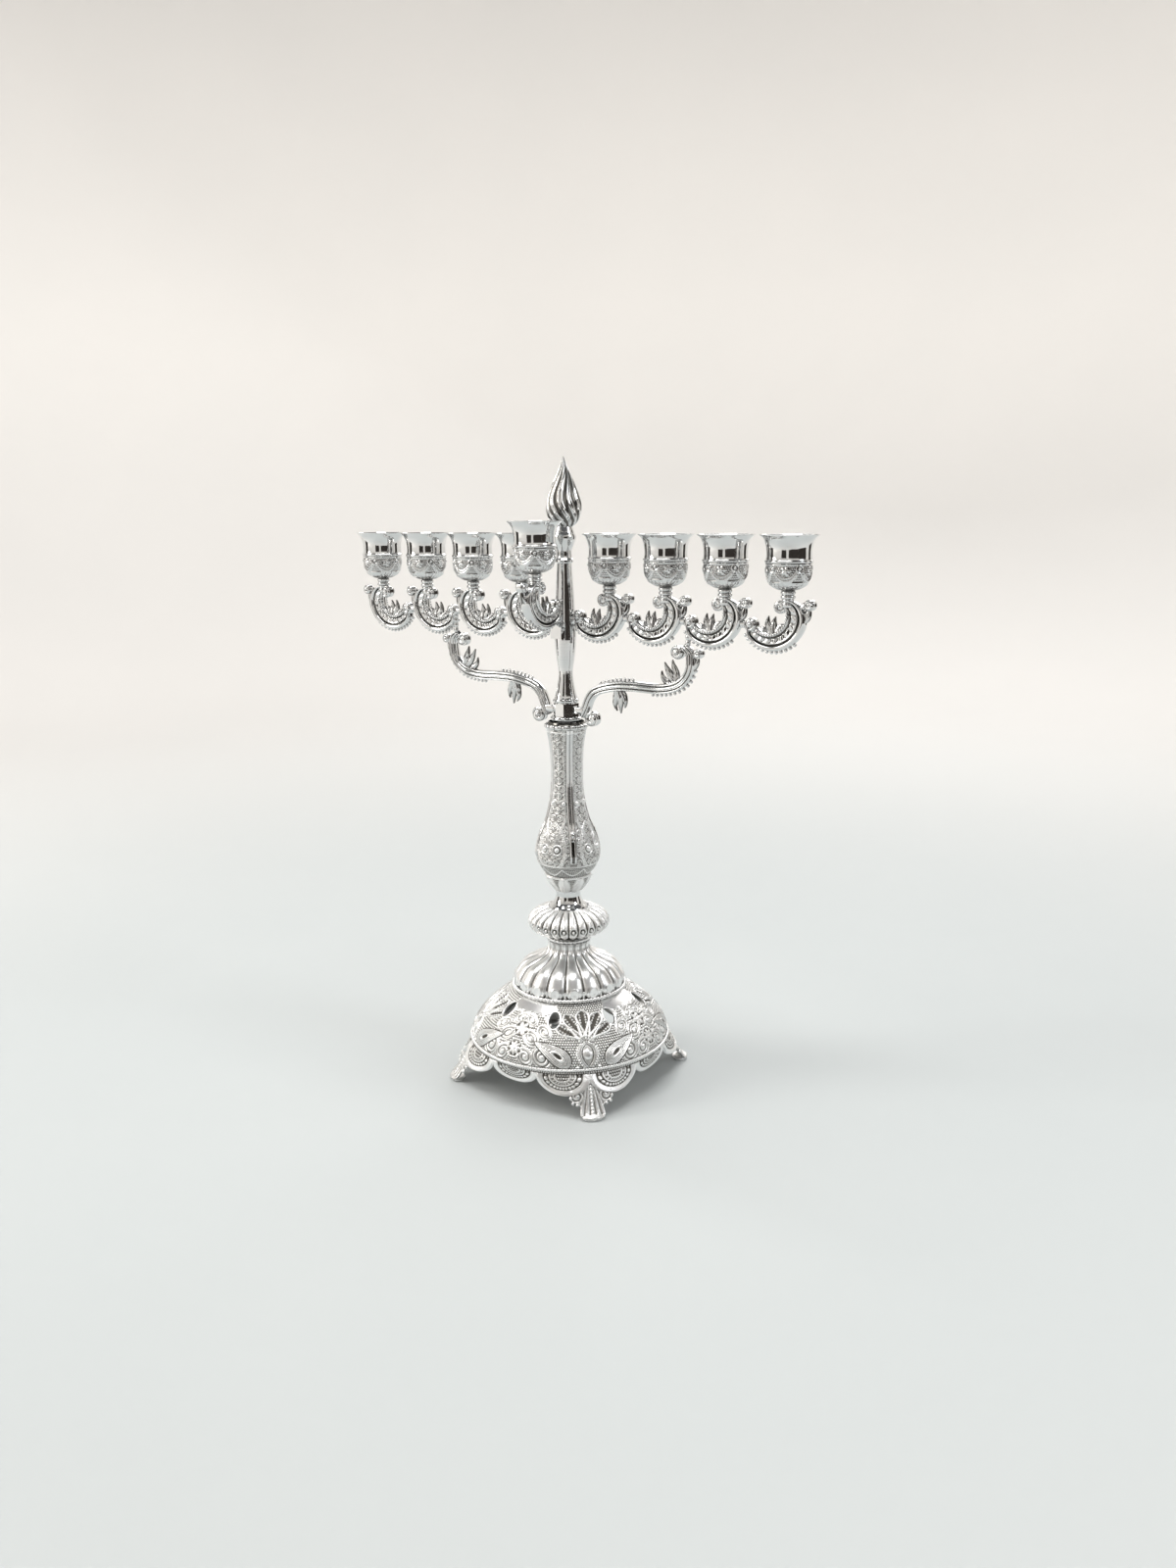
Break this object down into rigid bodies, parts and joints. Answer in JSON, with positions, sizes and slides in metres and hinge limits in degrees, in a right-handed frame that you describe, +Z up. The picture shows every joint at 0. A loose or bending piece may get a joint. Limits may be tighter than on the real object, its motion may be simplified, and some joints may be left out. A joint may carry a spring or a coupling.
{
  "type": "menorah",
  "caption": "Silver-plated candelabrum: a row of cups on scroll arms, a raised lift-off servant cup in front, and a footed domed base.",
  "frame": {"origin": "on the table under the column's axis, at the middle of the four feet", "axes": "+Z up, +X along the row of cups towards the right-hand end, -Y to the front, where the servant cup stands"},
  "size_m": [0.3782, 0.1502, 0.45],
  "materials": {
    "polished_plate": "bright silver plate, mirror polished",
    "frosted_filigree": "frosted silver plate with cast filigree relief",
    "chased_cup": "mirror lip, frosted chased bowl",
    "plain_steel": "plain turned steel, hidden fastenings"
  },
  "bodies": {
    "frame": {"base_dome": "frosted_filigree", "base_skirt": "frosted_filigree", "base_rope_rim": "polished_plate", "foot_front_right": "frosted_filigree", "foot_rear_right": "frosted_filigree", "foot_rear_left": "frosted_filigree", "foot_front_left": "frosted_filigree", "foot_rivets": "plain_steel", "fluted_cap": "polished_plate", "cap_bead_rim": "polished_plate", "neck_bead_ring": "polished_plate", "gadroon_knop": "frosted_filigree", "polished_spool": "polished_plate", "leaf_cup": "frosted_filigree", "baluster": "frosted_filigree", "baluster_flange": "polished_plate", "hub_lower_ring": "polished_plate", "arm_hub": "polished_plate", "hub_upper_ring": "polished_plate", "stem": "polished_plate", "stem_flange": "polished_plate", "finial_socket": "polished_plate", "flame_finial": "polished_plate", "finial_stud": "plain_steel", "tie_rod": "plain_steel", "tie_nut": "plain_steel", "tie_washer": "plain_steel", "arm_right_1": "polished_plate", "arm_right_2": "polished_plate", "arm_right_3": "polished_plate", "arm_right_4": "polished_plate", "arm_left_1": "polished_plate", "arm_left_2": "polished_plate", "arm_left_3": "polished_plate", "arm_left_4": "polished_plate", "s_arm_right": "polished_plate", "s_arm_left": "polished_plate", "s_arm_screws": "plain_steel", "s_arm_links": "polished_plate", "stem_cross_pin": "plain_steel", "arm_pins": "plain_steel", "cup_right_1": "chased_cup", "cup_right_2": "chased_cup", "cup_right_3": "chased_cup", "cup_right_4": "chased_cup", "cup_left_1": "chased_cup", "cup_left_2": "chased_cup", "cup_left_3": "chased_cup", "cup_left_4": "chased_cup", "cup_collars": "polished_plate", "cup_studs": "plain_steel", "servant_bracket": "polished_plate"},
    "servant": {"servant_arm": "polished_plate", "servant_cup": "chased_cup", "servant_collar": "polished_plate", "servant_stud": "plain_steel"}
  },
  "joints": [
    {"name": "servant_lift_off", "type": "slide", "parent": "frame", "child": "servant", "axis": [0, 0, 1], "range_m": [0, 0.03]}
  ]
}
